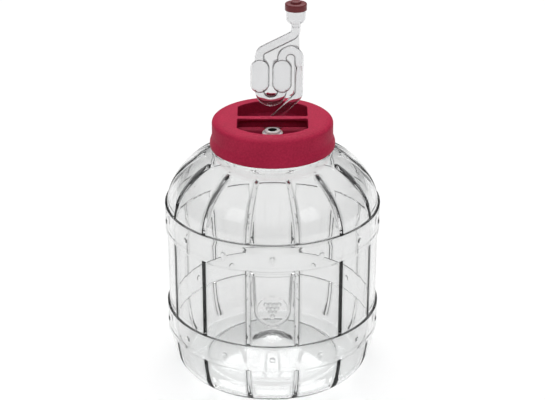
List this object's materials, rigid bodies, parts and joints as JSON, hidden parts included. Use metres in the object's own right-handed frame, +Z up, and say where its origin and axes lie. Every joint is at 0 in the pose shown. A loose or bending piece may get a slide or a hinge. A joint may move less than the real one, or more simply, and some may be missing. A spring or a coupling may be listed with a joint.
{
  "type": "glass carboy",
  "caption": "Wide-mouth glass fermenting jar shaped like a stave barrel, with a screw lid, stoppers and a bubbler airlock.",
  "frame": {"origin": "centre of the base, on the surface that the jar stands on", "axes": "+Z up along the jar's axis; the shield panel faces -Y; the airlock stands behind the grip bar, towards +Y"},
  "size_m": [0.2248, 0.2268, 0.3995],
  "materials": {
    "jar_glass": "clear moulded glass",
    "gasket_rubber": "matt soft rubber",
    "lid_plastic": "crimson satin plastic",
    "stopper_rubber": "pale grey soft rubber",
    "airlock_plastic": "clear moulded plastic",
    "cap_plastic": "dark red satin plastic"
  },
  "bodies": {
    "jar": {"glass_jar": "jar_glass"},
    "seal": {"lid_gasket": "gasket_rubber"},
    "lid": {"screw_lid": "lid_plastic", "front_stopper": "stopper_rubber"},
    "stopper": {"rear_stopper": "stopper_rubber"},
    "airlock": {"airlock_front_half": "airlock_plastic", "airlock_back_half": "airlock_plastic"},
    "cap": {"airlock_cap": "cap_plastic"}
  },
  "joints": [
    {"name": "lid_lift", "type": "slide", "parent": "jar", "child": "seal", "axis": [0, 0, 1], "range_m": [0, 0.006]},
    {"name": "lid_turn", "type": "hinge", "parent": "seal", "child": "lid", "pos_m": [0, 0, 0.265], "axis": [0, 0, 1], "range_deg": [0, 360]},
    {"name": "airlock_swivel", "type": "hinge", "parent": "lid", "child": "stopper", "pos_m": [0, 0.0112, 0.265], "axis": [0, 0, 1], "range_deg": [-15, 195]},
    {"name": "airlock_pull", "type": "slide", "parent": "stopper", "child": "airlock", "axis": [0, 0, 1], "range_m": [0, 0.031]},
    {"name": "cap_lift", "type": "slide", "parent": "airlock", "child": "cap", "axis": [0, 0, 1], "range_m": [0, 0.012]}
  ],
  "couplings": [
    {"joint": "lid_lift", "follows": "lid_turn", "m_per_rad": 0.00095492}
  ]
}
